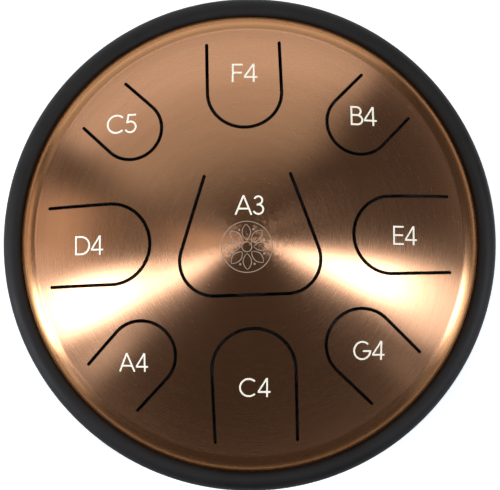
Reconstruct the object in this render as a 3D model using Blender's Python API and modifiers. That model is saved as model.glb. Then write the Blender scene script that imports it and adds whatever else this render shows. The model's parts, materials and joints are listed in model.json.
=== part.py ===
"""Steel tongue drum: a domed top shell with nine tongues, a bowl with a sound port, and a rubber rim.

The origin is on the drum's axis, level with the undersides of its feet. +Z is up, and +Y points
from the centre towards the tongue F4.
"""

import math

import bmesh
import bpy
from mathutils import Matrix, Vector

MM = 0.001
SEGMENTS = 64  # round the drum
DOME_RINGS = 9
SMALL_SEGMENTS = 16  # round a foot, screw or washer
PORT_SEGMENTS = 32  # round the port's edging
SMALL_BEND_STEPS = 2  # facets in a bend or a rounded edge of a few millimetres
SHOULDER_STEPS = 5
BOWL_STEPS = 8
ROUND_END_STEPS = 10  # facets round each corner of a tongue, and round the rim's crown
CUT_MARGIN = 5 * MM  # a cutter reaches this far past what it cuts
EMPTY_SIZE = 10 * MM

# Overall
DRUM_R = 180 * MM  # outside of the rubber rim
SHEET = 1.5 * MM  # pressed steel sheet
GAP = 0.3 * MM  # between pieces that touch

# Feet: rubber pads screwed to the base
FOOT_COUNT = 4
FOOT_CIRCLE_R = 86 * MM
FOOT_HEIGHT = 10 * MM
FOOT_TOP_R = 14 * MM
FOOT_BOTTOM_R = 12.5 * MM
FOOT_EDGE = 1.5 * MM
RECESS_R = 6 * MM
RECESS_DEPTH = 5.5 * MM
BOLT_HOLE_R = 2.4 * MM
SHANK_R = 1.95 * MM
HEAD_R = 4 * MM
HEAD_FACE_R = 3.2 * MM
HEAD_HEIGHT = 2.8 * MM
WASHER_R = 4.5 * MM
WASHER_HEIGHT = 0.8 * MM
NUT_R = 7 * MM / math.sqrt(3)  # over the corners, 7 mm across the flats
NUT_HEIGHT = 3.2 * MM
THREAD_END = 2 * MM  # the screw stands this far above its nut

# Bottom shell: a round-cornered bowl with a flat base
BOWL_DEPTH = 66.4 * MM  # below the seam
BOWL_CORNER_R = 61.8 * MM
PORT_R = 42 * MM
BASE_Z = FOOT_HEIGHT + GAP  # underside of the base
SEAM_Z = BASE_Z + BOWL_DEPTH  # middle of the gasket between the shells

# Flanges, gasket and rim
WALL_R = 165.8 * MM  # outside of both shells' upright walls
FLANGE_R = 176 * MM
FLANGE_BEND = 1.5 * MM
GASKET_HEIGHT = 1 * MM
FLANGE_LOW = GASKET_HEIGHT / 2 + GAP  # from the seam to the near face of a flange
FLANGE_HIGH = FLANGE_LOW + SHEET
RIM_INNER_R = 167 * MM
RIM_HALF_HEIGHT = 8.5 * MM
RIM_LIP_R = 2.2 * MM

# Top shell: a spherical dome, a crease, and a rounded shoulder down to the flange
DOME_HEIGHT = 71 * MM  # above the seam
DOME_R = 250 * MM
CREASE_R = 154.7 * MM
SHOULDER_R = 13.3 * MM
SHOULDER_START = math.radians(80)  # direction of the shoulder's arc at the crease

# Port edging: a rubber ring with a groove over the edge of the base
EDGING_INNER_R = 38 * MM
EDGING_OUTER_R = 48 * MM
EDGING_LIP = 2.5 * MM

# Tongues: what is left inside a slot of this width, held at the root
SLOT = 2 * MM
ROOT_R = 142.3 * MM
LARGEST_HALF_WIDTH = 29.25 * MM
HALF_WIDTH_STEP = 1.05 * MM  # each higher note is narrower by this on each side
NOTES = (  # from the lowest note up: name, direction in degrees, radius of the slot's round tip
    ("c4", 270, 62 * MM),
    ("d4", 180, 69 * MM),
    ("e4", 0, 72.3 * MM),
    ("f4", 90, 77.9 * MM),
    ("g4", 315, 82.1 * MM),
    ("a4", 225, 86.5 * MM),
    ("b4", 45, 90.2 * MM),
    ("c5", 135, 92.4 * MM),
)
# The centre tongue has two round corners, a flat end between them, and legs that spread apart
CENTRE_ROOT = 43.8 * MM
CENTRE_CORNER = (-15.25 * MM, 24.9 * MM)
CENTRE_CORNER_R = 23.65 * MM
CENTRE_SPREAD = math.radians(18.8)


def clear_scene():
    for obj in list(bpy.data.objects):
        bpy.data.objects.remove(obj, do_unlink=True)


def new_collection(name):
    collection = bpy.data.collections.new(name)
    bpy.context.scene.collection.children.link(collection)
    return collection


def make_material(name, color, roughness, metallic):
    material = bpy.data.materials.new(name)
    material.use_nodes = True
    shader = material.node_tree.nodes["Principled BSDF"]
    shader.inputs["Base Color"].default_value = (*color, 1)
    shader.inputs["Roughness"].default_value = roughness
    shader.inputs["Metallic"].default_value = metallic
    return material


def arc(centre, radius, start, end, steps):
    """Points on an arc from start to end, in radians, both ends included."""
    turns = [start + (end - start) * i / steps for i in range(steps + 1)]
    return [(centre[0] + radius * math.cos(t), centre[1] + radius * math.sin(t)) for t in turns]


def turned(name, profile, material, collection, segments=SEGMENTS, closed=True, at=(0, 0, 0)):
    """A profile of (r, z) points that runs down its outer side, turned about the vertical at a place."""
    mesh = bpy.data.meshes.new(name)
    edges = [(i, i + 1) for i in range(len(profile) - 1)]
    if closed:
        edges.append((len(profile) - 1, 0))
    mesh.from_pydata([(r, 0, z) for r, z in profile], edges, [])
    mesh.materials.append(material)
    obj = bpy.data.objects.new(name, mesh)
    obj.location = at
    collection.objects.link(obj)
    screw = obj.modifiers.new("Turn", "SCREW")
    screw.steps = screw.render_steps = segments
    screw.use_merge_vertices = True
    screw.merge_threshold = 0.01 * MM
    screw.use_smooth_shade = True
    return obj


def prism(name, outline, low, high, collection):
    """A hidden cutter: a closed outline in plan, extruded between two heights."""
    curve = bpy.data.curves.new(name, "CURVE")
    curve.dimensions = "2D"
    curve.fill_mode = "BOTH"
    curve.extrude = (high - low) / 2
    spline = curve.splines.new("POLY")
    spline.points.add(len(outline) - 1)
    for point, (x, y) in zip(spline.points, outline):
        point.co = (x, y, 0, 1)
    spline.use_cyclic_u = True
    drawn = bpy.data.objects.new(name + "_outline", curve)
    drawn.location.z = (high + low) / 2
    collection.objects.link(drawn)
    bpy.context.view_layer.update()
    evaluated = drawn.evaluated_get(bpy.context.evaluated_depsgraph_get())
    mesh = bpy.data.meshes.new_from_object(evaluated)
    welded = bmesh.new()
    welded.from_mesh(mesh)
    bmesh.ops.remove_doubles(welded, verts=welded.verts, dist=0.001 * MM)
    bmesh.ops.recalc_face_normals(welded, faces=welded.faces)
    welded.to_mesh(mesh)
    welded.free()
    cutter = bpy.data.objects.new(name, mesh)
    cutter.matrix_world = drawn.matrix_world
    cutter.display_type = "WIRE"
    cutter.hide_render = True
    collection.objects.link(cutter)
    bpy.data.objects.remove(drawn)
    return cutter


def boolean(obj, cutter, operation):
    modifier = obj.modifiers.new(cutter.name, "BOOLEAN")
    modifier.operation = operation
    modifier.object = cutter


def shade_by_angle(obj, degrees=35):
    """Smooth shading with sharp edges, kept after the modifiers."""
    modifier = obj.modifiers.new("Shade", "EDGE_SPLIT")
    modifier.split_angle = math.radians(degrees)


def dome_profile(inset=0.0):
    """Points on the dome, or on a surface that far inside it, from its top out to the crease."""
    centre_z = SEAM_Z + DOME_HEIGHT - DOME_R
    end = math.acos(CREASE_R / DOME_R)
    return arc((0, centre_z), DOME_R - inset, math.pi / 2, end, DOME_RINGS)


def dome_z(r, inset=0.0):
    """Height of the dome's surface, or of a surface that far inside it, at a plan radius."""
    return SEAM_Z + DOME_HEIGHT - DOME_R + math.sqrt((DOME_R - inset) ** 2 - r**2)


def top_shell_profile():
    shoulder = (WALL_R - SHOULDER_R, dome_z(CREASE_R) - SHOULDER_R * math.sin(SHOULDER_START))
    bend = (WALL_R + FLANGE_BEND, SEAM_Z + FLANGE_HIGH + FLANGE_BEND)
    outside = dome_profile()
    outside += arc(shoulder, SHOULDER_R, SHOULDER_START, 0, SHOULDER_STEPS)
    outside += arc(bend, FLANGE_BEND, math.pi, 1.5 * math.pi, SMALL_BEND_STEPS)
    outside.append((FLANGE_R, SEAM_Z + FLANGE_HIGH))
    inside = [(FLANGE_R, SEAM_Z + FLANGE_LOW)]
    inside += arc(bend, FLANGE_BEND + SHEET, 1.5 * math.pi, math.pi, SMALL_BEND_STEPS)
    inside += arc(shoulder, SHOULDER_R - SHEET, 0, SHOULDER_START, SHOULDER_STEPS)
    inside += dome_profile(SHEET)[::-1]
    return without_repeats(outside + inside)


def without_repeats(points):
    kept = [points[0]]
    for point in points[1:]:
        if math.dist(point, kept[-1]) > 0.05 * MM:
            kept.append(point)
    return kept


def tongue_outline(root, corner, radius, spread, grow, root_shift):
    """A tongue's plan outline, with its root at +X, grown outwards from the middle of its slot."""
    corner_x, corner_y = corner
    side = math.pi / 2 - spread
    grown = radius + grow
    root_x = root + root_shift
    reach = (grown - math.cos(side) * (root_x - corner_x)) / math.sin(side)
    points = [(root_x, corner_y + reach)]
    points += arc((corner_x, corner_y), grown, side, math.pi, ROUND_END_STEPS)
    points += arc((corner_x, -corner_y), grown, math.pi, 2 * math.pi - side, ROUND_END_STEPS)
    points.append((root_x, -corner_y - reach))
    return without_repeats(points)


def turned_in_plan(points, degrees):
    turn = Matrix.Rotation(math.radians(degrees), 2)
    return [tuple(turn @ Vector(point)) for point in points]


def tongue_shapes():
    """Each tongue's name, direction, root and slot shape: root, corner, radius and spread of the legs."""
    shapes = [("a3", 90, (CENTRE_ROOT, CENTRE_CORNER, CENTRE_CORNER_R, CENTRE_SPREAD))]
    for step, (note, direction, tip) in enumerate(NOTES):
        half_width = LARGEST_HALF_WIDTH - step * HALF_WIDTH_STEP
        shapes.append((note, direction, (ROOT_R, (tip + half_width, 0), half_width, 0)))
    return shapes


def make_top(steel, parts, cutters):
    """The top shell with a window for each tongue, and the tongues, each on an empty at its root."""
    shell = turned("top_shell", top_shell_profile(), steel, parts, closed=False)
    dome = dome_profile() + dome_profile(SHEET)[::-1]
    low, high = SEAM_Z, SEAM_Z + DOME_HEIGHT + CUT_MARGIN
    for note, direction, shape in tongue_shapes():
        window = turned_in_plan(tongue_outline(*shape, SLOT / 2, GAP / 2), direction)
        boolean(shell, prism("window_" + note, window, low, high, cutters), "DIFFERENCE")
        tongue = turned("tongue_" + note, dome, steel, parts, closed=False)
        blade = turned_in_plan(tongue_outline(*shape, -SLOT / 2, -GAP / 2), direction)
        boolean(tongue, prism("blade_" + note, blade, low, high, cutters), "INTERSECT")
        shade_by_angle(tongue)
        root = bpy.data.objects.new("root_" + note, None)
        root.empty_display_size = EMPTY_SIZE
        root.location = Matrix.Rotation(math.radians(direction), 3, "Z") @ Vector(
            (shape[0], 0, dome_z(shape[0], SHEET / 2))
        )
        root.rotation_euler.z = math.radians(direction)
        parts.objects.link(root)
        bpy.context.view_layer.update()
        tongue.parent = root
        tongue.matrix_parent_inverse = root.matrix_world.inverted()
    shade_by_angle(shell)


def foot_places():
    for i in range(FOOT_COUNT):
        turn = math.radians(45 + 360 / FOOT_COUNT * i)
        yield i + 1, (FOOT_CIRCLE_R * math.cos(turn), FOOT_CIRCLE_R * math.sin(turn))


def make_bottom_shell(steel, parts, cutters):
    """A bowl with a flange at the seam, a flat base, a sound port and the feet's bolt holes."""
    centre = (WALL_R - BOWL_CORNER_R, BASE_Z + BOWL_CORNER_R)
    bend = (WALL_R + FLANGE_BEND, SEAM_Z - FLANGE_HIGH - FLANGE_BEND)
    down, level = -math.pi / 2, 0
    outside = [(FLANGE_R, SEAM_Z - FLANGE_LOW), (FLANGE_R, SEAM_Z - FLANGE_HIGH)]
    outside += arc(bend, FLANGE_BEND, math.pi / 2, math.pi, SMALL_BEND_STEPS)
    outside += arc(centre, BOWL_CORNER_R, level, down, BOWL_STEPS)
    outside.append((PORT_R, BASE_Z))
    inside = [(PORT_R, BASE_Z + SHEET)]
    inside += arc(centre, BOWL_CORNER_R - SHEET, down, level, BOWL_STEPS)
    inside += arc(bend, FLANGE_BEND + SHEET, math.pi, math.pi / 2, SMALL_BEND_STEPS)
    shell = turned("bottom_shell", without_repeats(outside + inside), steel, parts)
    low, high = BASE_Z - CUT_MARGIN, BASE_Z + CUT_MARGIN
    for number, place in foot_places():
        hole = arc(place, BOLT_HOLE_R, 0, 2 * math.pi, SMALL_SEGMENTS)[:-1]
        boolean(shell, prism(f"bolt_hole_{number}", hole, low, high, cutters), "DIFFERENCE")
    shade_by_angle(shell)


def make_rim(rubber, parts):
    """The gasket between the flanges, and the rubber channel pushed over both."""
    half, lip = RIM_HALF_HEIGHT, RIM_LIP_R
    slot, slot_r = FLANGE_HIGH + GAP, FLANGE_R + GAP
    crown = arc((DRUM_R - half, SEAM_Z), half, math.pi / 2, -math.pi / 2, ROUND_END_STEPS)
    upper_lip = (RIM_INNER_R + lip, SEAM_Z + half - lip)
    lower_lip = (RIM_INNER_R + lip, SEAM_Z - half + lip)
    profile = arc(upper_lip, lip, math.pi, math.pi / 2, SMALL_BEND_STEPS) + crown
    profile += arc(lower_lip, lip, -math.pi / 2, -math.pi, SMALL_BEND_STEPS)
    profile += [(RIM_INNER_R, SEAM_Z - slot), (slot_r, SEAM_Z - slot)]
    profile += [(slot_r, SEAM_Z + slot), (RIM_INNER_R, SEAM_Z + slot)]
    rim = turned("rim_bumper", without_repeats(profile), rubber, parts)
    shade_by_angle(rim)
    gasket_half = GASKET_HEIGHT / 2
    corners = [(FLANGE_R, gasket_half), (FLANGE_R, -gasket_half)]
    corners += [(RIM_INNER_R, -gasket_half), (RIM_INNER_R, gasket_half)]
    gasket = turned("seam_gasket", [(r, SEAM_Z + z) for r, z in corners], rubber, parts)
    shade_by_angle(gasket)


def make_port_edging(rubber, parts):
    """A rubber ring that covers the edge of the sound port, with a groove for the steel."""
    top, bottom = BASE_Z + SHEET + GAP + EDGING_LIP, BASE_Z - GAP - EDGING_LIP
    groove_r = PORT_R - GAP
    edge, steps = EDGING_LIP / 2, SMALL_BEND_STEPS
    profile = arc((EDGING_OUTER_R - edge, top - edge), edge, math.pi / 2, 0, steps)
    profile += [(EDGING_OUTER_R, BASE_Z + SHEET + GAP), (groove_r, BASE_Z + SHEET + GAP)]
    profile += [(groove_r, BASE_Z - GAP), (EDGING_OUTER_R, BASE_Z - GAP)]
    profile += arc((EDGING_OUTER_R - edge, bottom + edge), edge, 0, -math.pi / 2, steps)
    profile += arc((EDGING_INNER_R + edge, bottom + edge), edge, -math.pi / 2, -math.pi, steps)
    profile += arc((EDGING_INNER_R + edge, top - edge), edge, math.pi, math.pi / 2, steps)
    edging = turned("port_edging", without_repeats(profile), rubber, parts, segments=PORT_SEGMENTS)
    shade_by_angle(edging)


def make_feet(rubber, zinc, parts):
    """Four feet, each with its screw from below, and a washer and nut inside the drum."""
    washer_z = BASE_Z + SHEET + GAP
    nut_z = washer_z + WASHER_HEIGHT + GAP
    head_top = RECESS_DEPTH - GAP
    tip_z = nut_z + NUT_HEIGHT + THREAD_END
    foot_edge = (FOOT_BOTTOM_R - FOOT_EDGE, FOOT_EDGE)
    foot = arc(foot_edge, FOOT_EDGE, 0, -math.pi / 2, SMALL_BEND_STEPS)
    foot += [(RECESS_R, 0), (RECESS_R, RECESS_DEPTH), (BOLT_HOLE_R, RECESS_DEPTH)]
    foot += [(BOLT_HOLE_R, FOOT_HEIGHT), (FOOT_TOP_R, FOOT_HEIGHT)]
    screw = [(0, tip_z), (SHANK_R, tip_z), (SHANK_R, head_top), (HEAD_R, head_top)]
    screw += [(HEAD_R, head_top - HEAD_HEIGHT / 2), (HEAD_FACE_R, head_top - HEAD_HEIGHT)]
    screw.append((0, head_top - HEAD_HEIGHT))
    for number, place in foot_places():
        common = {"segments": SMALL_SEGMENTS, "at": (*place, 0)}
        shade_by_angle(turned(f"foot_{number}", foot, rubber, parts, **common))
        bolt = turned(f"foot_screw_{number}", screw, zinc, parts, closed=False, **common)
        shade_by_angle(bolt)
        washer = ring(WASHER_R, BOLT_HOLE_R, washer_z, WASHER_HEIGHT)
        shade_by_angle(turned(f"foot_washer_{number}", washer, zinc, parts, **common))
        nut = ring(NUT_R, BOLT_HOLE_R, nut_z, NUT_HEIGHT)
        common["segments"] = 6
        shade_by_angle(turned(f"foot_nut_{number}", nut, zinc, parts, **common))


def ring(outer_r, inner_r, low, height):
    top = low + height
    return [(outer_r, top), (outer_r, low), (inner_r, low), (inner_r, top)]


def main():
    clear_scene()
    parts = new_collection("tongue_drum")
    cutters = new_collection("cutters")
    steel = make_material("bronzed_steel", (0.63, 0.38, 0.24), 0.32, 1)
    rubber = make_material("black_rubber", (0.03, 0.03, 0.032), 0.6, 0)
    zinc = make_material("zinc_plate", (0.7, 0.7, 0.72), 0.35, 1)
    make_top(steel, parts, cutters)
    make_bottom_shell(steel, parts, cutters)
    make_rim(rubber, parts)
    make_port_edging(rubber, parts)
    make_feet(rubber, zinc, parts)


main()
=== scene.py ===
import json
import math

import bmesh
import bpy
import numpy as np
from mathutils import Matrix, Vector
from mathutils.geometry import delaunay_2d_cdt


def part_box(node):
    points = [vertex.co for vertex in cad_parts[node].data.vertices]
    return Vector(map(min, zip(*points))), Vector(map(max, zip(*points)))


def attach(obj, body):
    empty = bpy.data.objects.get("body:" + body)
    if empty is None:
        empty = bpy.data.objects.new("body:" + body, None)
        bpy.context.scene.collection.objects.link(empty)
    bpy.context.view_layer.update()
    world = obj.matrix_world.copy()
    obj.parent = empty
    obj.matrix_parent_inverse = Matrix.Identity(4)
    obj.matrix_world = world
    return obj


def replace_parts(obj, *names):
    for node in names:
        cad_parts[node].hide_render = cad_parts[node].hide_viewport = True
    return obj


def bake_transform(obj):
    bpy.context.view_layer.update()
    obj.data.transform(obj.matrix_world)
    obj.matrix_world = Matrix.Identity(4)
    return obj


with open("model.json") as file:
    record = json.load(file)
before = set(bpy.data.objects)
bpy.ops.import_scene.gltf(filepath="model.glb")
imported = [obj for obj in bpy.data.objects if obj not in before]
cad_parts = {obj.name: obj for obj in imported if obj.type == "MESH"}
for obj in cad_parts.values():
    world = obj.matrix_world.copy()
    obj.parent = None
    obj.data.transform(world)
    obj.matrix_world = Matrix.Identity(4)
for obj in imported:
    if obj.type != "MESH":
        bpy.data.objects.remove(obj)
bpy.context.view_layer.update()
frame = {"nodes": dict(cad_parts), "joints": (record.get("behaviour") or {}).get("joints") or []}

# Looks of a steel tongue drum. Lengths are in metres. The frame gives every place and outer size,
# and the values below are the shapes that its boxes don't say.
MM = 0.001
ROUND = 256  # segments round the drum
SHEET = 1.5 * MM
GAP = 0.3 * MM
SAME_POINT = 0.01 * MM  # neighbours in an outline that are closer than this are one point
DRUM = "drum"  # the body of everything but the tongues

# The dome and the border of the top shell
DOME_R = 250 * MM
DOME_EDGE_R = 153.2 * MM  # the crease starts to bend up out of the dome here
CREASE_R = 154.7 * MM
WALL_R = 165.8 * MM
SHOULDER_R = 13.3 * MM
SHOULDER_START = math.radians(80)
CREASE_END = math.radians(77)
FLANGE_BEND = 1.5 * MM
FILL = 4 * MM  # spacing of the points inside a sheet
CLEAR = 0.6 * FILL  # and their least distance to an outline

# The slots round the tongues
SLOT = 2 * MM
CHAMFER = 0.2 * MM
LEG_STEP = 2.5 * MM
ROUND_STEP = 1.6 * MM
CENTRE_CORNER = (-15.25 * MM, 24.9 * MM)
CENTRE_CORNER_R = 23.65 * MM
CENTRE_SPREAD = math.radians(18.8)

# Pitch marks: height of a capital, width of its lines, thickness of the film
CAP = 13.4 * MM
STROKE = 1.2 * MM
FILM = 0.1 * MM
LETTER_SPACE = 0.06  # between two characters, as a share of a capital's height
MARK_TURN = math.radians(-1.95)
MARK_PLACES = {  # out from the axis and across the tongue, in millimetres, and size
    "a3": (22.6, -0.6, 1), "c4": (103.2, 0.2, 1), "d4": (112.8, 0, 1), "e4": (109.1, -0.7, 0.99),
    "f4": (118.8, -0.5, 1.06), "g4": (114, 0.5, 1), "a4": (118.4, -0.9, 0.97),
    "b4": (119.4, 1.1, 1.06), "c5": (122.6, 1.5, 1.06),
}

# The etched flower in the middle
ETCH = 0.03 * MM  # height of its lines
ETCH_WIDTH = 0.6 * MM
ROSETTE_CENTRE = Vector((-2 * MM, -6 * MM))
ROSETTE_R = 17.5 * MM
ROSETTE_EYE_R = 3.4 * MM
LEAVES = 8
LEAF_START, LEAF_END, LEAF_HALF_WIDTH = 4.6 * MM, 15.6 * MM, 2.9 * MM
DOT_PLACE_R, DOT_R = 12.8 * MM, 0.8 * MM

# The bowl and its port
BOWL_CORNER_R = 61.8 * MM
PORT_R = 42 * MM
EDGING_INNER_R = 38 * MM
EDGING_ROUND = 1.2 * MM

# The rim: a channel with two lips that reach in over the flanges
RIM_INNER_R = 167 * MM  # of the rubber and the gasket between the flanges
LIP_INNER_R = 165.5 * MM
LIP_REACH, LIP_RISE = 5.6 * MM, 4.6 * MM
MOUTH_BEVEL = 0.5 * MM

# Feet, screws and nuts
FEET = (1, 2, 3, 4)
BOLT_HOLE_R = 2.4 * MM
FOOT_TAPER = 1.5 * MM
RECESS_R = 6 * MM
RECESS_DEPTH = 5.5 * MM
SHANK_R = 1.95 * MM
CROSS_LENGTH, CROSS_WIDTH, CROSS_DEPTH = 4.2 * MM, 0.95 * MM, 1.5 * MM
CROSS_TURN = math.radians(20)
CUT_MARGIN = 1 * MM
NUT_BEVEL = 0.35 * MM

seam_low, seam_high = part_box("seam_gasket")
SEAM_Z = (seam_low.z + seam_high.z) / 2
SEAM_HALF = (seam_high.z - seam_low.z) / 2
FLANGE_R = seam_high.x
APEX_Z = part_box("tongue_a3")[1].z
CENTRE_Z = APEX_Z - ETCH - DOME_R
RIM_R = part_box("rim_bumper")[1].x
BASE_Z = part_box("bottom_shell")[0].z


# ---------------------------------------------------------------- outlines


def ellipse(centre, rx, ry, start, end, steps):
    """Points on an ellipse from start to end, in radians, both ends included."""
    turns = np.linspace(start, end, steps + 1)
    return [(centre[0] + rx * math.cos(t), centre[1] + ry * math.sin(t)) for t in turns]


def arc(centre, radius, start, end, steps):
    """Points on an arc from start to end, in radians, both ends included."""
    return ellipse(centre, radius, radius, start, end, steps)


def circle(centre, radius, steps):
    """A closed circle of points."""
    return arc(centre, radius, 0, 2 * math.pi, steps)[:-1]


def line(start, end, steps):
    """Points along a line, both ends included."""
    start, end = np.array(start), np.array(end)
    return [tuple(start + (end - start) * i / steps) for i in range(steps + 1)]


def curve(start, corner, end, steps):
    """Points on a quadratic curve that leaves start and reaches end in the directions of the corner."""
    a, b, c = np.array(start), np.array(corner), np.array(end)
    return [tuple((1 - t) ** 2 * a + 2 * t * (1 - t) * b + t * t * c) for t in np.linspace(0, 1, steps + 1)]


def mirrored(points):
    """The run's mirror image across its first axis, from its end back to its start."""
    return [(x, -y) for x, y in reversed(points)]


def joined(*runs):
    """Runs of points one after another as a closed outline, without the repeats where they meet."""
    points = []
    for run in runs:
        for point in run:
            if not points or math.dist(point, points[-1]) > SAME_POINT:
                points.append(tuple(point))
    if math.dist(points[0], points[-1]) < SAME_POINT:
        points.pop()
    return points


def rounded(corners, steps=4):
    """A closed outline of (x, y, radius) corners, each rounded by its radius."""
    points = []
    for i, (x, y, radius) in enumerate(corners):
        here = Vector((x, y))
        if radius == 0:
            points.append((x, y))
            continue
        before = (Vector(corners[i - 1][:2]) - here).normalized()
        after = (Vector(corners[(i + 1) % len(corners)][:2]) - here).normalized()
        reach = radius / math.tan(before.angle(after) / 2)
        points += curve(here + before * reach, here, here + after * reach, steps)
    return joined(points)


def inside(points, outline):
    """Which of the points lie inside a closed outline."""
    outline = np.asarray(outline)
    found = np.zeros(len(points), bool)
    x, y = points[:, 0], points[:, 1]
    for (x0, y0), (x1, y1) in zip(outline, np.roll(outline, -1, axis=0)):
        if y0 != y1:
            found ^= ((y0 > y) != (y1 > y)) & (x < (x1 - x0) * (y - y0) / (y1 - y0) + x0)
    return found


def inside_any(points, outlines):
    """Which of the points lie inside one or more of the outlines."""
    return np.any([inside(points, outline) for outline in outlines], axis=0)


def loose_points(low, high, outlines):
    """Points on rings between two radii, clear of every outline."""
    found = [(0.0, 0.0)] if low == 0 else []
    for k in range(int(low / FILL) + 1, int(high / FILL) + 1):
        count = round(2 * math.pi * k)
        start = math.pi * (k % 2) / count
        found += arc((0, 0), k * FILL, start, start + 2 * math.pi, count)[:-1]
    found = np.array(found)
    edge = np.concatenate([np.array(outline) for outline in outlines])
    near = np.array([np.hypot(edge[:, 0] - x, edge[:, 1] - y).min() for x, y in found])
    return found[near > CLEAR]


def pairs(count):
    """Each index with the next one, round a closed run."""
    return [(i, (i + 1) % count) for i in range(count)]


def triangulate(outlines, loose, kept):
    """Points and triangles over outlines and loose points, and each outline's place in the points."""
    points, edges = [], []
    for outline in outlines:
        first = len(points)
        points += [tuple(p) for p in outline]
        edges += [(first + i, first + j) for i, j in pairs(len(outline))]
    points += [tuple(p) for p in loose]
    made = delaunay_2d_cdt([Vector(p) for p in points], edges, [], 0, 1e-8, True)
    flat, triangles = np.array([tuple(p) for p in made[0]]), np.array(made[2])
    triangles = triangles[kept(flat[triangles].mean(axis=1))]
    place = {old: new for new, olds in enumerate(made[3]) for old in olds}
    ends = np.cumsum([0] + [len(outline) for outline in outlines])
    return flat, triangles, [[place[i] for i in range(a, b)] for a, b in zip(ends, ends[1:])]


# ---------------------------------------------------------------- meshes


def link(obj):
    bpy.context.scene.collection.objects.link(obj)
    return obj


def replace_with(piece, node):
    """Puts a piece of the drum's body in the place of a CAD node."""
    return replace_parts(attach(piece, DRUM), node)


class Sheet:
    """A pressed sheet: faces with exact normals on both sides, and plain faces along its edges."""

    KINDS = ("outer", "inner", "edge")

    def __init__(self, lift):
        self.lift = lift
        self.points, self.normals, self.faces, self.kinds = [], [], [], []

    def add(self, point, normal):
        self.points.append(tuple(point))
        self.normals.append(tuple(normal))
        return len(self.points) - 1

    def face(self, corners, kind):
        self.faces.append(tuple(corners))
        self.kinds.append(kind)

    def over_plan(self, outlines, walls, loose, kept):
        """Covers a plan region. A wall is its outline a little further out, where the cut edge stands."""
        flat, triangles, rings = triangulate(outlines, loose, kept)
        outer = [self.lift(*p) for p in flat]
        inner, step = dict(enumerate(outer)), {}
        for ring, wall in zip(rings, walls):
            for index, spot in zip(ring, wall or []):
                point, normal = self.lift(*spot)
                inner[index] = point, normal
                step[index] = self.add(point - normal * CHAMFER, normal)
        top = [self.add(p, n) for p, n in outer]
        low = [self.add(inner[i][0] - inner[i][1] * SHEET, -inner[i][1]) for i in range(len(outer))]
        for a, b, c in triangles:
            self.face((top[a], top[b], top[c]), "outer")
            self.face((low[c], low[b], low[a]), "inner")
        for ring, wall in zip(rings, walls):
            for i, j in zip(ring, ring[1:] + ring[:1]) if wall else ():
                self.face((top[i], top[j], step[j], step[i]), "edge")
                self.face((step[i], step[j], low[j], low[i]), "edge")
        return [([top[i] for i in ring], [low[i] for i in ring]) for ring in rings]

    def turn_on(self, ring, profile, side=1):
        """Carries a ring on along a profile of (r, z) points, then closes its far edge."""
        top, low = ring
        angles = [math.atan2(self.points[i][1], self.points[i][0]) for i in top]
        start = (math.hypot(*self.points[top[0]][:2]), self.points[top[0]][2])
        path = [np.array(p) for p in [start, *profile]]
        slopes = [(b - a) / np.linalg.norm(b - a) for a, b in zip(path, path[1:])]
        slopes.append(slopes[-1])
        for k, (r, z) in enumerate(path[1:]):
            along = slopes[k] + slopes[k + 1]
            nr, nz = side * np.array((-along[1], along[0])) / np.linalg.norm(along)
            upper, lower = [], []
            for a in angles:
                spot = Vector((r * math.cos(a), r * math.sin(a), z))
                normal = Vector((nr * math.cos(a), nr * math.sin(a), nz))
                upper.append(self.add(spot, normal))
                lower.append(self.add(spot - normal * SHEET, -normal))
            for i, j in pairs(len(top)):
                self.face((top[i], upper[i], upper[j], top[j]), "outer")
                self.face((low[j], lower[j], lower[i], low[i]), "inner")
            top, low = upper, lower
        for i, j in pairs(len(top)):
            self.face((top[i], low[i], low[j], top[j]), "edge")

    def make(self, name, outer, inner):
        """The mesh object, with its materials outside, inside and on its edges."""
        obj = plain_mesh(name, self.points, self.faces, outer, 30)
        mesh = obj.data
        normals = [corner.vector.copy() for corner in mesh.corner_normals]
        for face, kind in zip(mesh.polygons, self.kinds):
            face.material_index = self.KINDS.index(kind)
            if kind != "edge":
                for loop in face.loop_indices:
                    normals[loop] = Vector(self.normals[mesh.loops[loop].vertex_index])
        mesh.normals_split_custom_set(normals)
        mesh.materials.append(inner)
        mesh.materials.append(shaded_cut_edge)
        return obj


def plain_mesh(name, points, faces, material, sharp=35):
    """A closed mesh that faces outwards, smooth but for edges sharper than an angle in degrees."""
    mesh = bpy.data.meshes.new(name)
    mesh.from_pydata([tuple(p) for p in points], [], faces)
    shape = bmesh.new()
    shape.from_mesh(mesh)
    bmesh.ops.recalc_face_normals(shape, faces=shape.faces)
    shape.to_mesh(mesh)
    shape.free()
    mesh.polygons.foreach_set("use_smooth", [True] * len(mesh.polygons))
    mesh.set_sharp_from_angle(angle=math.radians(sharp))
    mesh.materials.append(material)
    return link(bpy.data.objects.new(name, mesh))


def turned(name, profile, material, segments=ROUND, at=(0, 0), sharp=35):
    """A closed profile of (r, z) points, turned about the vertical. Points on the axis become poles."""
    points, rings, faces = [], [], []
    for r, z in profile:
        first = len(points)
        count = 1 if r < 1e-6 else segments
        for k in range(count):
            a = 2 * math.pi * k / segments
            points.append((at[0] + r * math.cos(a), at[1] + r * math.sin(a), z))
        rings.append([first + k % count for k in range(segments)])
    for low, high in zip(rings, rings[1:] + rings[:1]):
        for i, j in pairs(segments):
            corners = tuple(dict.fromkeys((low[i], low[j], high[j], high[i])))
            if len(corners) > 2:
                faces.append(corners)
    return plain_mesh(name, points, faces, material, sharp)


def on_dome(x, y):
    """The point and normal of the dome over a place in plan."""
    point = Vector((x, y, CENTRE_Z + math.sqrt(DOME_R**2 - x * x - y * y)))
    return point, (point - Vector((0, 0, CENTRE_Z))).normalized()


def on_base(x, y):
    """The point and outward normal of the flat base, which faces down."""
    return Vector((x, y, BASE_Z)), Vector((0, 0, -1))


# ---------------------------------------------------------------- materials


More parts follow.
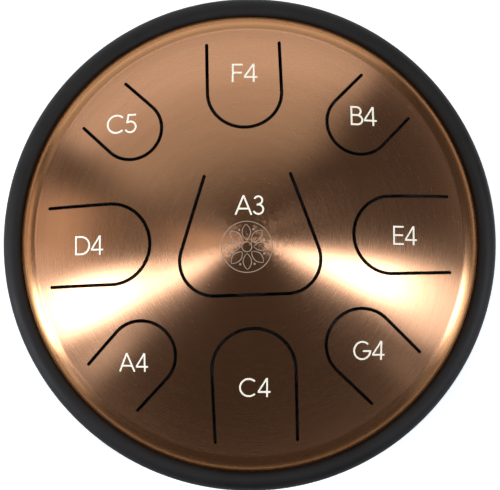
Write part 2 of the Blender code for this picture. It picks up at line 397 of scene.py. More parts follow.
class Nodes:
    """Short calls for a node tree."""

    def __init__(self, tree):
        self.tree = tree

    def new(self, kind, inputs=None, **settings):
        node = self.tree.nodes.new("ShaderNode" + kind)
        for key, value in settings.items():
            setattr(node, key, value)
        for key, value in (inputs or {}).items():
            self.put(node.inputs[key], value)
        return node

    def put(self, socket, value):
        if isinstance(value, bpy.types.NodeSocket):
            self.tree.links.new(value, socket)
        else:
            socket.default_value = value

    def math(self, operation, a, b=0.0, c=0.0):
        return self.new("Math", {0: a, 1: b, 2: c}, operation=operation).outputs[0]

    def vector(self, x, y, z):
        return self.new("CombineXYZ", {0: x, 1: y, 2: z}).outputs[0]

    def vectors(self, operation, a, b=(0, 0, 0)):
        return self.new("VectorMath", {0: a, 1: b}, operation=operation).outputs[0]

    def scaled(self, vector, share):
        return self.new("VectorMath", {0: vector, "Scale": share}, operation="SCALE").outputs[0]

    def place(self):
        return self.new("TexCoord").outputs["Object"]

    def round_axis(self):
        """Object coordinates x, y and z, and the distance from the vertical axis."""
        x, y, z = self.new("SeparateXYZ", {0: self.place()}).outputs
        r = self.math("SQRT", self.math("ADD", self.math("MULTIPLY", x, x), self.math("MULTIPLY", y, y)))
        return x, y, z, r

    def noise(self, vector, scale, detail=2.0, roughness=0.5, output="Fac"):
        inputs = {"Vector": vector, "Scale": scale, "Detail": detail, "Roughness": roughness}
        return self.new("TexNoise", inputs).outputs[output]

    def ranged(self, value, low, high, to_low, to_high):
        inputs = {"Value": value, 1: low, 2: high, 3: to_low, 4: to_high}
        return self.new("MapRange", inputs).outputs[0]

    def ramp(self, value, stops):
        node = self.new("ValToRGB", {0: value})
        ramp = node.color_ramp
        while len(ramp.elements) < len(stops):
            ramp.elements.new(1)
        for element, (place, color) in zip(ramp.elements, stops):
            element.position, element.color = place, (*color, 1)
        return node.outputs["Color"]

    def bump(self, height, distance, strength):
        inputs = {"Height": height, "Distance": distance, "Strength": strength}
        return self.new("Bump", inputs).outputs["Normal"]


class Surface(Nodes):
    """The nodes of a new material with a Principled shader."""

    def __init__(self, name):
        self.material = bpy.data.materials.new(name)
        self.material.use_nodes = True
        super().__init__(self.material.node_tree)
        self.shader = self.tree.nodes["Principled BSDF"]

    def finish(self, **inputs):
        for key, value in inputs.items():
            self.put(self.shader.inputs[key.replace("_", " ")], value)
        return self.material


BRONZE = ((0.66, 0.292, 0.138), (0.74, 0.335, 0.162), (0.81, 0.38, 0.19))
BRUSH_LINES, BRUSH_BANDS = 900, 160  # fine lines and broad bands across the brush, in noise cells a metre
BRUSH_ARCS, BAND_ARCS = 7, 2.5  # and how often they change on their way round
STRAY_CELLS = 350  # in noise cells a metre
STRAY_REACH = 20 * MM  # how far the grooves in the middle lean away from circles
STRAY_START, STRAY_END = 15 * MM, 45 * MM  # the radii over which the grooves come round to circles


def brushed_steel(name, roughness, slope, border=(1, 1, 1)):
    """Steel brushed in circles round the drum's axis, under a thin bronze coat.

    The slope says how height adds to the run across the brush. The border is painted shade: the shares that
    red, green and blue fall to from the dome's edge out to the wall, which dim the reflections there.
    """
    nodes = Surface(name)
    x, y, z, r = nodes.round_axis()
    safe = nodes.math("MAXIMUM", r, 0.5 * MM)
    cos, sin = nodes.math("DIVIDE", x, safe), nodes.math("DIVIDE", y, safe)
    across = nodes.math("MULTIPLY_ADD", z, slope, r)

    def brush(arcs, lines):
        shares = ((cos, arcs), (sin, arcs), (across, lines))
        return nodes.vector(*(nodes.math("MULTIPLY", value, share) for value, share in shares))

    fine = nodes.noise(brush(BRUSH_ARCS, BRUSH_LINES), 1, 4, 0.65)
    wide = nodes.noise(brush(BAND_ARCS, BRUSH_BANDS), 1)
    cloud = nodes.noise(nodes.place(), 9, 3)
    tone = nodes.math("ADD", nodes.math("MULTIPLY", fine, 0.5), nodes.math("MULTIPLY", wide, 0.3))
    tone = nodes.math("MULTIPLY_ADD", cloud, 0.2, tone)
    color = nodes.ramp(tone, list(zip((0.25, 0.5, 0.75), BRONZE)))
    # Painted shade: the colour darkens, most in blue, from the dome's edge out to the wall, to dim its
    # reflections.
    painted_border_shade = nodes.vector(*(nodes.ranged(r, DOME_EDGE_R, WALL_R, 1, share) for share in border))
    rough = nodes.math("MULTIPLY_ADD", nodes.math("SUBTRACT", fine, 0.5), 0.08, roughness)
    rough = nodes.math("MULTIPLY_ADD", nodes.math("SUBTRACT", cloud, 0.5), 0.08, rough)
    stray = nodes.noise(nodes.place(), STRAY_CELLS, output="Color")
    stray = nodes.vectors("SUBTRACT", stray, (0.5, 0.5, 0.5))
    stray = nodes.scaled(stray, nodes.ranged(r, STRAY_START, STRAY_END, STRAY_REACH, 0))
    groove = nodes.vectors("ADD", nodes.vector(nodes.math("MULTIPLY", y, -1), x, 0), stray)
    return nodes.finish(
        Base_Color=nodes.vectors("MULTIPLY", color, painted_border_shade), Metallic=1.0, Roughness=rough,
        Anisotropic=0.85, Anisotropic_Rotation=0.25, Tangent=nodes.vectors("NORMALIZE", groove),
        Normal=nodes.bump(fine, 0.01 * MM, 0.25),
    )


def inner_steel():
    """The unbrushed inside of the shells: dull, with a mottled mill finish."""
    nodes = Surface("mill_steel")
    mottle = nodes.noise(nodes.place(), 60, 5, 0.6)
    color = nodes.ramp(mottle, [(0.3, (0.30, 0.22, 0.17)), (0.7, (0.42, 0.33, 0.27))])
    return nodes.finish(Base_Color=color, Metallic=1.0, Roughness=nodes.ranged(mottle, 0, 1, 0.42, 0.62))


def slot_shade_material():
    """Cut edges of the sheet, painted near black as the shade down in the slots."""
    nodes = Surface("shaded_cut_edge")
    edge_shade_noise = nodes.noise(nodes.place(), 1800, 3)
    # Painted shade: the edges are near black so that the slots read dark.
    color = nodes.ramp(edge_shade_noise, [(0.3, (0.004, 0.003, 0.002)), (0.7, (0.016, 0.010, 0.007))])
    return nodes.finish(Base_Color=color, Metallic=0.3, Roughness=0.6, Specular_IOR_Level=0.2)


def rubber(name, color, grain=1.0):
    """Moulded rubber: dark, with a fine matt grain and paler bloom in places."""
    nodes = Surface(name)
    fine, bloom = nodes.noise(nodes.place(), 2600, 3, 0.6), nodes.noise(nodes.place(), 30, 4, 0.6)
    dark, pale = [c * 0.7 for c in color], [c * 1.7 for c in color]
    tone = nodes.math("MULTIPLY_ADD", fine, 0.35, nodes.math("MULTIPLY", bloom, 0.65))
    return nodes.finish(
        Base_Color=nodes.ramp(tone, [(0.3, dark), (0.7, pale)]),
        Roughness=nodes.ranged(bloom, 0.2, 0.8, 0.46, 0.7),
        Specular_IOR_Level=0.4, Specular_Tint=(1.0, 0.84, 0.71, 1),
        Normal=nodes.bump(fine, 0.06 * MM * grain, 0.6),
    )


def zinc():
    """Bright zinc plate, a little cloudy."""
    nodes = Surface("zinc_plate")
    cloud = nodes.noise(nodes.place(), 400, 4, 0.6)
    color = nodes.ramp(cloud, [(0.3, (0.50, 0.51, 0.52)), (0.7, (0.72, 0.72, 0.70))])
    return nodes.finish(Base_Color=color, Metallic=1.0, Roughness=nodes.ranged(cloud, 0, 1, 0.22, 0.42))


def white_film_painted_glow():
    """Matt white film with a faint grain, and a painted glow in its own colour."""
    nodes = Surface("white_mark")
    grain = nodes.noise(nodes.place(), 1500, 3)
    color = nodes.ramp(grain, [(0.3, (0.95, 0.84, 0.66)), (0.7, (1.0, 0.89, 0.71))])
    return nodes.finish(
        Base_Color=color, Roughness=0.55, Normal=nodes.bump(grain, 0.01 * MM, 0.4),
        # Painted glow: the film gives off light of its own colour, to keep it white.
        Emission_Color=color, Emission_Strength=0.4,
    )


def etched_line():
    """Lines etched through the brush: pale, matt and even."""
    nodes = Surface("etched_line")
    grain = nodes.noise(nodes.place(), 2500, 3)
    color = nodes.ramp(grain, [(0.3, (0.52, 0.33, 0.21)), (0.7, (0.66, 0.44, 0.30))])
    return nodes.finish(Base_Color=color, Metallic=0.4, Roughness=0.6)


# The radii over which the paper brightens, and over which the ring of glow on it starts and ends
NEAR_PAPER, FAR_PAPER = (RIM_R * 0.7, RIM_R * 1.1), (0.6, 2.5)
GLOW_START, GLOW_END = (0.2, 0.26), (0.45, 0.8)


def pale_floor():
    """White paper as the camera sees it, brighter away from the drum.

    The drum mirrors darker paper with a glowing ring, which is dimmer towards the C4 tongue.
    """
    nodes = Surface("floor_paper")
    grain = nodes.noise(nodes.place(), 40, 3)
    color = nodes.ramp(grain, [(0.3, (0.93, 0.93, 0.93)), (0.7, (0.95, 0.95, 0.95))])
    _, y, _, r = nodes.round_axis()
    bright = nodes.math("ADD", nodes.ranged(r, *NEAR_PAPER, 0, 0.7), nodes.ranged(r, *FAR_PAPER, 0, 0.3))
    nodes.finish(
        Base_Color=color, Roughness=0.9, Specular_IOR_Level=0.1,
        Emission_Color=color, Emission_Strength=bright,
    )
    ring = nodes.math("MULTIPLY", nodes.ranged(r, *GLOW_START, 0, 1), nodes.ranged(r, *GLOW_END, 1, 0))
    side = nodes.ranged(nodes.math("DIVIDE", y, nodes.math("MAXIMUM", r, 1 * MM)), -1, 0.3, 0.4, 0.85)
    glow = nodes.new("Emission", {"Strength": nodes.math("MULTIPLY", ring, side)}).outputs[0]
    paper = nodes.new("BsdfDiffuse", {"Color": (0.3, 0.3, 0.3, 1)}).outputs[0]
    mirrored_floor = nodes.new("AddShader", {0: paper, 1: glow}).outputs[0]
    seen = nodes.new("LightPath").outputs["Is Camera Ray"]
    mixed = nodes.new("MixShader", {0: seen, 1: mirrored_floor, 2: nodes.shader.outputs[0]}).outputs[0]
    nodes.put(nodes.tree.nodes["Material Output"].inputs["Surface"], mixed)
    return nodes.material


# The top's border gets painted shade that dims its reflections.
steel_top = brushed_steel("bronzed_steel", 0.27, -1.0, (1, 0.9, 0.6))
steel_under = brushed_steel("bronzed_steel_under", 0.3, 1.0)
shaded_cut_edge = slot_shade_material()
steel_inside = inner_steel()
black_rubber = rubber("black_rubber", (0.0125, 0.0105, 0.0095))
soft_rubber = rubber("soft_rubber", (0.028, 0.028, 0.028), 0.6)
zinc_plate = zinc()
white_mark = white_film_painted_glow()
etched = etched_line()


# ---------------------------------------------------------------- the top shell and its tongues


class Tongue:
    """A tongue's place and slot, read from its CAD node and its joint.

    Its plan outlines are in (out, side): out runs from the drum's axis to the root.
    """

    def __init__(self, joint):
        self.body = joint["child"]
        self.note = self.body.split("_")[1]
        self.hinge = Vector(joint["pos_m"])
        axis = Vector(joint["axis"])
        self.out, self.side = Vector((axis.y, -axis.x)), Vector((axis.x, axis.y))
        self.root = self.hinge.xy.dot(self.out)
        if self.note == "a3":
            self.corner, self.radius, spread = CENTRE_CORNER, CENTRE_CORNER_R, CENTRE_SPREAD
        else:
            points = np.array([v.co[:2] for v in frame["nodes"][self.body].data.vertices])
            self.radius = abs(points @ np.array(self.side)).max() + SLOT / 2
            tip = (points @ np.array(self.out)).min() - SLOT / 2
            self.corner, spread = (tip + self.radius, 0), 0
        self.turn = math.pi / 2 - spread  # direction across the slot's leg on the +side

    def placed(self, points):
        """Points along the tongue (out, side) to plan x and y."""
        return [tuple(self.out * u + self.side * v) for u, v in points]

    def end(self, grow):
        """Where an edge of the slot meets the root line on the +side, grown from the slot's middle."""
        x, y = self.corner
        reach = (self.radius - math.cos(self.turn) * (self.root - x)) / math.sin(self.turn)
        return self.root + grow * math.cos(self.turn), y + reach + grow * math.sin(self.turn)

    def edge(self, grow):
        """One edge of the slot, from the root line round the tip and back."""
        x, y = self.corner
        radius = self.radius + grow
        first = (x + radius * math.cos(self.turn), y + radius * math.sin(self.turn))
        leg_steps = max(4, round((self.root - x) / LEG_STEP))
        round_steps = max(8, round(self.radius * (math.pi - self.turn) / ROUND_STEP))
        corner = arc((x, y), radius, self.turn, math.pi, round_steps)
        there = line(self.end(grow), first, leg_steps)[:-1] + corner
        back = mirrored(there)
        if y == 0:
            return there + back[1:]
        return there + line(there[-1], back[0], round(2 * y / LEG_STEP))[1:-1] + back

    def root_line(self, grow):
        """The root line from -side to +side, without its ends."""
        x, y = self.end(grow)
        return line((x, -y), (x, y), 16)[1:-1]

    def blade(self, inset):
        """The tongue's own outline."""
        grow = -SLOT / 2 - inset
        return self.placed(self.edge(grow) + self.root_line(grow))

    def hole(self, inset):
        """The outline that the shell keeps: round the slot, its round ends and the root line."""
        grow = SLOT / 2 + inset
        cap = arc(self.end(0), grow, self.turn - math.pi, self.turn, 8)[:-1]
        return self.placed(cap + self.edge(grow) + mirrored(cap) + self.root_line(-grow))


tongues = [Tongue(joint) for joint in frame["joints"]]


def border_profile():
    """The top shell's (r, z) profile from the dome's edge over the crease and shoulder to the flange."""
    edge_point = on_dome(DOME_EDGE_R, 0)[0]
    start, start_slope = (edge_point.x, edge_point.z), -DOME_EDGE_R / (edge_point.z - CENTRE_Z)
    shoulder_z = CENTRE_Z + math.sqrt(DOME_R**2 - CREASE_R**2) - SHOULDER_R * math.sin(SHOULDER_START)
    shoulder = arc((WALL_R - SHOULDER_R, shoulder_z), SHOULDER_R, CREASE_END, 0, 14)
    end, end_slope = shoulder[0], -1 / math.tan(CREASE_END)
    # The crease is a curve whose corner is where the tangents at its two ends cross
    meet = (end[1] - start[1] + start_slope * start[0] - end_slope * end[0]) / (start_slope - end_slope)
    crease = curve(start, (meet, start[1] + start_slope * (meet - start[0])), end, 8)
    flange_z = SEAM_Z + SEAM_HALF + GAP + SHEET
    bend = arc((WALL_R + FLANGE_BEND, flange_z + FLANGE_BEND), FLANGE_BEND, math.pi, 1.5 * math.pi, 6)
    return joined(crease, shoulder, bend, [(FLANGE_R, flange_z)])[1:]


def make_top_shell():
    edge = circle((0, 0), DOME_EDGE_R, ROUND)
    holes = [tongue.hole(CHAMFER) for tongue in tongues]
    walls = [tongue.hole(0) for tongue in tongues]
    loose = loose_points(0, DOME_EDGE_R, [edge, *holes])
    loose = loose[~inside_any(loose, holes)]
    shell = Sheet(on_dome)
    rings = shell.over_plan([edge, *holes], [None, *walls], loose, lambda spots: ~inside_any(spots, holes))
    shell.turn_on(rings[0], border_profile())
    replace_with(shell.make("top_shell_steel", steel_top, steel_inside), "top_shell")


def make_tongue(tongue):
    outline, wall = tongue.blade(CHAMFER), tongue.blade(0)
    loose = loose_points(0, DOME_EDGE_R, [outline])
    loose = loose[inside(loose, outline)]
    blade = Sheet(on_dome)
    blade.over_plan([outline], [wall], loose, lambda spots: inside(spots, outline))
    piece = blade.make(tongue.body + "_steel", steel_top, steel_inside)
    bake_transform(piece)
    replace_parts(piece, tongue.body)


# ---------------------------------------------------------------- pitch marks and ornament


LINE = STROKE / CAP  # width of a character's lines, as a share of a capital's height
HALF = LINE / 2


def bar(start, end, width=LINE):
    """A straight stroke with square ends."""
    start, end = Vector(start), Vector(end)
    across = (end - start).normalized().orthogonal() * width / 2
    return [tuple(start + across), tuple(start - across), tuple(end - across), tuple(end + across)]


def bow(centre, rx, ry, start, end, steps=28, width=LINE):
    """A curved stroke on an ellipse, between two directions in degrees."""
    start, end = math.radians(start), math.radians(end)
    outer = ellipse(centre, rx + width / 2, ry + width / 2, start, end, steps)
    inner = ellipse(centre, rx - width / 2, ry - width / 2, start, end, steps)
    return outer + inner[::-1]


def letter(name):
    """A plain capital or digit as (strokes, width), 1 high, drawn with bars and bows."""
    top = 1 - HALF
    stem = bar((HALF, 0), (HALF, 1))
    if name == "A":
        return [bar((0.03, 0), (0.44, 1)), bar((0.85, 0), (0.44, 1)), bar((0.15, 0.32), (0.73, 0.32))], 0.88
    if name == "B":
        bars = [bar((HALF, y), (x, y)) for x, y in ((0.31, top), (0.33, 0.53), (0.33, HALF))]
        upper = bow((0.31, 0.765 - LINE / 4), 0.235 - HALF / 2, 0.235 - LINE / 4, -90, 90)
        lower = bow((0.33, 0.265 + LINE / 4), 0.28 - HALF / 2, 0.265 - LINE / 4, -90, 90)
        return [stem, *bars, upper, lower], 0.61
    if name == "C":
        return [bow((0.5, 0.5), 0.5 - HALF, 0.5 - HALF, 46, 314, 40)], 0.91
    if name == "D":
        bars = [bar((HALF, y), (0.34, y)) for y in (top, HALF)]
        return [stem, *bars, bow((0.33, 0.5), 0.5 - HALF, 0.5 - HALF, -90, 90, 40)], 0.83
    if name == "E":
        bars = [bar((HALF, y), (x, y)) for x, y in ((0.58, top), (0.54, 0.51), (0.58, HALF))]
        return [stem, *bars], 0.59
    if name == "F":
        return [stem, *(bar((HALF, y), (x, y)) for x, y in ((0.54, top), (0.50, 0.51)))], 0.55
    if name == "G":
        return [bow((0.48, 0.5), 0.48 - HALF, 0.5 - HALF, 46, 355, 44), bar((0.52, 0.47), (0.96, 0.47))], 0.96
    if name == "3":
        upper = bow((0.26, 0.755), 0.225 - HALF / 2, 0.245 - HALF, -90, 160)
        lower = bow((0.26, (0.53 + HALF) / 2), 0.275 - HALF / 2, (0.53 - HALF) / 2, -160, 90)
        return [upper, lower, bar((0.18, 0.525), (0.27, 0.525))], 0.53
    if name == "4":
        slant = bar((0.48 - HALF * 0.3, 0.985), (0.03, 0.29), LINE * 0.92)
        return [bar((0.48, 0), (0.48, 1)), slant, bar((0.0, 0.27), (0.66, 0.27))], 0.66
    if name == "5":
        bars = [bar((0.10, top), (0.52, top)), bar((0.13, top), (0.085, 0.52))]
        return [*bars, bow((0.25, 0.325), 0.32 - HALF, 0.325 - HALF, -150, 122, 36)], 0.57
    raise ValueError(name)


def film(name, strokes, material, thickness, body):
    """Strokes laid on the dome as one thin film, sunk a little into the steel."""
    flat, triangles, _ = triangulate(strokes, [], lambda spots: inside_any(spots, strokes))
    used, triangles = np.unique(triangles, return_inverse=True)
    triangles = triangles.reshape(-1, 3)
    lifted = [on_dome(*flat[i]) for i in used]
    count = len(lifted)
    points = [p + n * thickness for p, n in lifted] + [p - n * thickness / 4 for p, n in lifted]
    faces = [tuple(t) for t in triangles] + [tuple(t[::-1] + count) for t in triangles]
    ends = [(t[i], t[j]) for t in triangles for i, j in pairs(3)]
    known = set(ends)
    faces += [(a, a + count, b + count, b) for a, b in ends if (b, a) not in known]
    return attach(plain_mesh(name, points, faces, material), body)


def make_mark(tongue):
    """The tongue's note name, two plain characters."""
    out, across, share = MARK_PLACES[tongue.note]
    centre = tongue.out * out * MM + tongue.side * across * MM
    turn = Matrix.Rotation(MARK_TURN, 2) * CAP * share
    glyphs = [letter(character) for character in tongue.note.upper()]
    strokes, x = [], -(glyphs[0][1] + LETTER_SPACE + glyphs[1][1]) / 2
    for parts, width in glyphs:
        for stroke in parts:
            strokes.append([tuple(centre + turn @ Vector((x + px, py - 0.5))) for px, py in stroke])
        x += width + LETTER_SPACE
    film("mark_" + tongue.note, strokes, white_mark, FILM, tongue.body)


def leaf(centre, turn, steps=14):
    """The outline of a leaf that points away from the centre, as two curved strokes."""
    along = Vector((math.cos(turn), math.sin(turn)))
    across = Vector((-along.y, along.x))
    strokes = []
    for side in (-1, 1):
        outer, inner = [], []
        for t in np.linspace(0, 1, steps + 1):
            half = LEAF_HALF_WIDTH * math.sin(math.pi * t) ** 0.8
            middle = centre + along * (LEAF_START + (LEAF_END - LEAF_START) * t)
            outer.append(tuple(middle + across * side * (half + ETCH_WIDTH / 2)))
            inner.append(tuple(middle + across * side * (half - ETCH_WIDTH / 2)))
        strokes.append(outer + inner[::-1])
    return strokes


def halves(centre, radius, steps):
    """A ring as two strokes, each half of it."""
    return [bow(centre, radius, radius, start, start + 180, steps, ETCH_WIDTH) for start in (0, 180)]


def make_rosette():
    """A generic flower in the middle, with a leaf for each outer tongue."""
    strokes = halves(ROSETTE_CENTRE, ROSETTE_R, 60) + halves(ROSETTE_CENTRE, ROSETTE_EYE_R, 24)
    for k in range(LEAVES):
        strokes += leaf(ROSETTE_CENTRE, 2 * math.pi * k / LEAVES)
        turn = 2 * math.pi * (k + 0.5) / LEAVES
        spot = ROSETTE_CENTRE + Vector((math.cos(turn), math.sin(turn))) * DOT_PLACE_R
        strokes.append(circle(spot, DOT_R, 16))
    film("centre_rosette", strokes, etched, ETCH, "tongue_a3")


# ---------------------------------------------------------------- the bowl, rim and port


def middle_of(node):
    """The plan place of the middle of a node's box."""
    low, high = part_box(node)
    return (low.x + high.x) / 2, (low.y + high.y) / 2


def make_bottom_shell():
    corner = (WALL_R - BOWL_CORNER_R, BASE_Z + BOWL_CORNER_R)
    edge = circle((0, 0), corner[0], ROUND)
    holes, walls = [circle((0, 0), PORT_R, 96)], [circle((0, 0), PORT_R - CHAMFER, 96)]
    for k in FEET:
        spot = middle_of(f"foot_screw_{k}")
        holes.append(circle(spot, BOLT_HOLE_R + CHAMFER, 20))
        walls.append(circle(spot, BOLT_HOLE_R, 20))
    loose = loose_points(PORT_R, corner[0], [edge, *holes])
    loose = loose[~inside_any(loose, holes)]
    bowl = Sheet(on_base)
    rings = bowl.over_plan([edge, *holes], [None, *walls], loose, lambda spots: ~inside_any(spots, holes))
    flange_z = SEAM_Z - SEAM_HALF - GAP - SHEET
    bend = arc((WALL_R + FLANGE_BEND, flange_z - FLANGE_BEND), FLANGE_BEND, math.pi, math.pi / 2, 6)
    profile = joined(arc(corner, BOWL_CORNER_R, -math.pi / 2, 0, 36), bend, [(FLANGE_R, flange_z)])[1:]
    bowl.turn_on(rings[0], profile, -1)
    replace_with(bowl.make("bottom_shell_steel", steel_under, steel_inside), "bottom_shell")


def make_rim():
    """The rubber channel: half round outside, with soft lips that grip the flanges."""
    low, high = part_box("rim_bumper")
    half = (high.z - low.z) / 2
    quarter = math.pi / 2
    lip_r, lip_z = LIP_INNER_R + LIP_REACH, half - LIP_RISE
    upper = ellipse((lip_r, SEAM_Z + lip_z), LIP_REACH, LIP_RISE, 2 * quarter, quarter, 12)
    crown = arc((RIM_R - half, SEAM_Z), half, quarter, -quarter, 32)
    lower = ellipse((lip_r, SEAM_Z - lip_z), LIP_REACH, LIP_RISE, 3 * quarter, 2 * quarter, 12)
    slot_half = SEAM_HALF + GAP + SHEET + GAP
    slot = [
        (RIM_INNER_R, -lip_z), (RIM_INNER_R + MOUTH_BEVEL, -slot_half), (FLANGE_R + GAP, -slot_half),
        (FLANGE_R + GAP, slot_half), (RIM_INNER_R + MOUTH_BEVEL, slot_half), (RIM_INNER_R, lip_z),
    ]
    profile = joined(upper, crown, lower, [(r, SEAM_Z + z) for r, z in slot])
    replace_with(turned("rim_rubber", profile, black_rubber), "rim_bumper")


def make_gasket():
    low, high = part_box("seam_gasket")
    corners = [
        (RIM_INNER_R, low.z, 0.4 * MM), (high.x, low.z, 0),
        (high.x, high.z, 0), (RIM_INNER_R, high.z, 0.4 * MM),
    ]
    replace_with(turned("gasket_bead", rounded(corners), soft_rubber), "seam_gasket")


def make_port_edging():
    low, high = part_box("port_edging")
    groove, steel_low, steel_high = PORT_R - GAP, BASE_Z - GAP, BASE_Z + SHEET + GAP
    corners = [
        (EDGING_INNER_R, low.z, EDGING_ROUND), (high.x, low.z, EDGING_ROUND),
        (high.x, steel_low, 0.3 * MM), (groove, steel_low, 0),
        (groove, steel_high, 0), (high.x, steel_high, 0.3 * MM),
        (high.x, high.z, EDGING_ROUND), (EDGING_INNER_R, high.z, EDGING_ROUND),
    ]
    piece = turned("port_edging_rubber", rounded(corners, 6), soft_rubber, 128)
    replace_with(piece, "port_edging")


# ---------------------------------------------------------------- feet and fasteners


def make_foot(k):
    """A rubber pad, wider at its top, with a recess for its screw's head."""
    low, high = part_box(f"foot_{k}")
    top_r = (high.x - low.x) / 2
    corners = [
        (RECESS_R, low.z, 0.8 * MM), (top_r - FOOT_TAPER, low.z, 1.5 * MM), (top_r, high.z, 0.8 * MM),
        (BOLT_HOLE_R, high.z, 0), (BOLT_HOLE_R, RECESS_DEPTH, 0), (RECESS_R, RECESS_DEPTH, 0),
    ]
    piece = turned(f"foot_rubber_{k}", rounded(corners, 5), soft_rubber, 64, middle_of(f"foot_{k}"))
    replace_with(piece, f"foot_{k}")


def cross_cut(head, at, low):
    """Cuts a cross recess up into a screw's head."""
    for turn in (CROSS_TURN, CROSS_TURN + math.pi / 2):
        middle = low + (CROSS_DEPTH - CUT_MARGIN) / 2
        bpy.ops.mesh.primitive_cube_add(size=1, location=(*at, middle), rotation=(0, 0, turn))
        cutter = bpy.context.object
        cutter.scale = (CROSS_LENGTH, CROSS_WIDTH, CROSS_DEPTH + CUT_MARGIN)
        modifier = head.modifiers.new("cross", "BOOLEAN")
        modifier.object = cutter
        bpy.context.view_layer.objects.active = head
        bpy.context.view_layer.update()
        bpy.ops.object.modifier_apply(modifier=modifier.name)
        bpy.data.objects.remove(cutter)
    head.data.set_sharp_from_angle(angle=math.radians(35))


def make_screw(k):
    """A round-headed screw, with its head down in the foot's recess."""
    low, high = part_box(f"foot_screw_{k}")
    at, head_r, head_top = middle_of(f"foot_screw_{k}"), (high.x - low.x) / 2, RECESS_DEPTH - GAP
    corners = [
        (0, low.z, 0), (head_r * 0.8, low.z, 0.6 * MM), (head_r, head_top - 1 * MM, 0.5 * MM),
        (head_r, head_top, 0.1 * MM), (SHANK_R, head_top, 0), (SHANK_R, high.z, 0.3 * MM), (0, high.z, 0),
    ]
    screw = turned(f"foot_bolt_{k}", rounded(corners), zinc_plate, 40, at)
    cross_cut(screw, at, low.z)
    replace_with(screw, f"foot_screw_{k}")


def make_washer(k):
    low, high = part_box(f"foot_washer_{k}")
    outer = (high.x - low.x) / 2
    corners = [
        (BOLT_HOLE_R, low.z, 0), (outer, low.z, 0.15 * MM),
        (outer, high.z, 0.15 * MM), (BOLT_HOLE_R, high.z, 0),
    ]
    piece = turned(f"foot_washer_plate_{k}", rounded(corners), zinc_plate, 48, middle_of(f"foot_washer_{k}"))
    replace_with(piece, f"foot_washer_{k}")


def make_nut(k):
    """A hexagon nut with bevelled corners. Two of its flats face along Y."""
    low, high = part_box(f"foot_nut_{k}")
    corner_r = (high.y - low.y) / math.sqrt(3)
    profile = [
        (BOLT_HOLE_R, low.z), (corner_r - NUT_BEVEL, low.z), (corner_r, low.z + NUT_BEVEL),
        (corner_r, high.z - NUT_BEVEL), (corner_r - NUT_BEVEL, high.z), (BOLT_HOLE_R, high.z),
    ]
    piece = turned(f"foot_hex_nut_{k}", profile, zinc_plate, 6, middle_of(f"foot_nut_{k}"), 20)
    replace_with(piece, f"foot_nut_{k}")


# ---------------------------------------------------------------- stage

PANEL_DISTANCE = 1.6
STRIP = (0.90, 1.10, 1.38)
WHITE = (1, 1, 1)
PANELS = (  # name, direction and breadth, then top and bottom, in degrees; radiance, colour and soft share
    ("left_overhead", 172, 40, 5, 26, 1.1, WHITE, 0.35),
    ("left_high", 200, 18, 10, 48, 3.9, STRIP, 0.3),
    ("left_low", 196, 20.5, 42, 84, 7.5, STRIP, 0.25),
    ("left_glow", 173, 36, 58, 87, 0.75, WHITE, 0.35),
    ("left_horizon", 190, 34, 80, 92, 1.2, STRIP, 0.4),
    ("left_skirt", 213, 18, 46, 88, 0.8, STRIP, 0.45),
    ("right_high", 345, 20, 11, 46, 4.8, STRIP, 0.3),
    ("right_middle", 344, 22, 34, 62, 7.8, STRIP, 0.32),
    ("right_low", 341, 28, 58, 84, 1.2, STRIP, 0.2),
    ("right_horizon", 341, 26, 82, 92, 2.5, STRIP, 0.4),
    ("right_skirt", 321, 14, 60, 88, 0.25, STRIP, 0.45),
    ("far_low", 100, 102, 62, 86, 0.95, (0.86, 1.0, 1.18), 0.12),
    ("far_high", 104, 112, 25, 66, 0.42, (0.86, 1.0, 1.08), 0.25),
)


def make_floor():
    bpy.ops.mesh.primitive_plane_add(size=12, location=(0, 0, -0.2 * MM))
    floor = bpy.context.object
    floor.name = "floor"
    floor.data.materials.append(pale_floor())


def turn_to(obj, towards, up):
    """Turns a camera or light so that it looks along -towards, with the given up in its picture."""
    obj.rotation_euler = Matrix((up.cross(towards), up, towards)).transposed().to_euler()


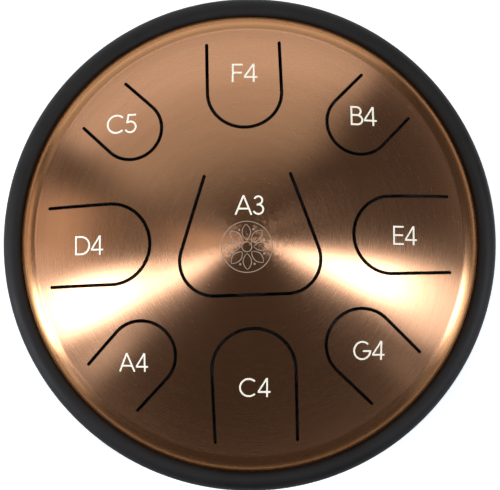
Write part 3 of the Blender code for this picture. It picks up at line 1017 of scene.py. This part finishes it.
def make_panel(name, azimuth, breadth, top, bottom, radiance, color, soft):
    """A soft box that faces the drum. Its heights are measured down from overhead.

    The box fades out over the soft share of its sides.
    """
    a, p = math.radians(azimuth), math.radians((top + bottom) / 2)
    light = bpy.data.lights.new(name, "AREA")
    light.shape = "RECTANGLE"
    light.size = 2 * PANEL_DISTANCE * math.sin(p) * math.tan(math.radians(breadth / 2))
    light.size_y = 2 * PANEL_DISTANCE * math.tan(math.radians((bottom - top) / 2))
    light.energy = radiance * 4 * light.size * light.size_y
    light.color = color
    light.use_nodes = True
    nodes = Nodes(light.node_tree)
    fades = []
    for side in nodes.new("SeparateXYZ", {0: nodes.new("TexCoord").outputs["UV"]}).outputs[:2]:
        inputs = {"Value": nodes.math("PINGPONG", side, 0.5), "From Max": soft}
        fades.append(nodes.new("MapRange", inputs, interpolation_type="SMOOTHSTEP").outputs[0])
    nodes.put(nodes.tree.nodes["Emission"].inputs["Strength"], nodes.math("MULTIPLY", *fades))
    panel = link(bpy.data.objects.new(name, light))
    towards = Vector((math.sin(p) * math.cos(a), math.sin(p) * math.sin(a), math.cos(p)))
    panel.location = Vector((0, 0, SEAM_Z)) + towards * PANEL_DISTANCE
    turn_to(panel, towards, towards.cross(Vector((-math.sin(a), math.cos(a), 0))))
    panel.visible_camera = False


def make_world():
    """White as the camera sees it, and almost black as the drum mirrors it."""
    world = bpy.data.worlds.new("studio")
    bpy.context.scene.world = world
    world.use_nodes = True
    nodes = Nodes(world.node_tree)
    seen = nodes.tree.nodes["Background"]
    nodes.put(seen.inputs["Color"], (1, 1, 1, 1))
    dim = nodes.new("Background", {"Color": (0.05, 0.05, 0.05, 1)})
    path = nodes.new("LightPath").outputs["Is Camera Ray"]
    mixed = nodes.new("MixShader", {0: path, 1: dim.outputs[0], 2: seen.outputs[0]}).outputs[0]
    nodes.put(nodes.tree.nodes["World Output"].inputs["Surface"], mixed)


def make_camera():
    """Almost straight above, a little towards the C4 tongue, and turned a little."""
    tilt, roll, distance = math.radians(2.8), math.radians(-1.95), 1.1
    aim = Vector((0.2 * MM, -1.4 * MM, SEAM_Z))
    rim_share = 0.492  # the rim's radius as a share of the picture's width
    camera = bpy.data.cameras.new("camera")
    camera.sensor_width = 36
    camera.lens = camera.sensor_width * rim_share * distance / RIM_R
    view = link(bpy.data.objects.new("camera", camera))
    towards = Vector((0, -math.sin(tilt), math.cos(tilt)))
    view.location = aim + towards * distance
    turn_to(view, towards, Matrix.Rotation(roll, 3, towards) @ Vector((0, math.cos(tilt), math.sin(tilt))))
    bpy.context.scene.camera = view


make_top_shell()
for tongue in tongues:
    make_tongue(tongue)
    make_mark(tongue)
make_rosette()
make_bottom_shell()
make_rim()
make_gasket()
make_port_edging()
for number in FEET:
    make_foot(number)
    make_screw(number)
    make_washer(number)
    make_nut(number)

make_floor()
make_world()
for panel in PANELS:
    make_panel(*panel)
make_camera()
bpy.context.scene.view_settings.view_transform = "Standard"
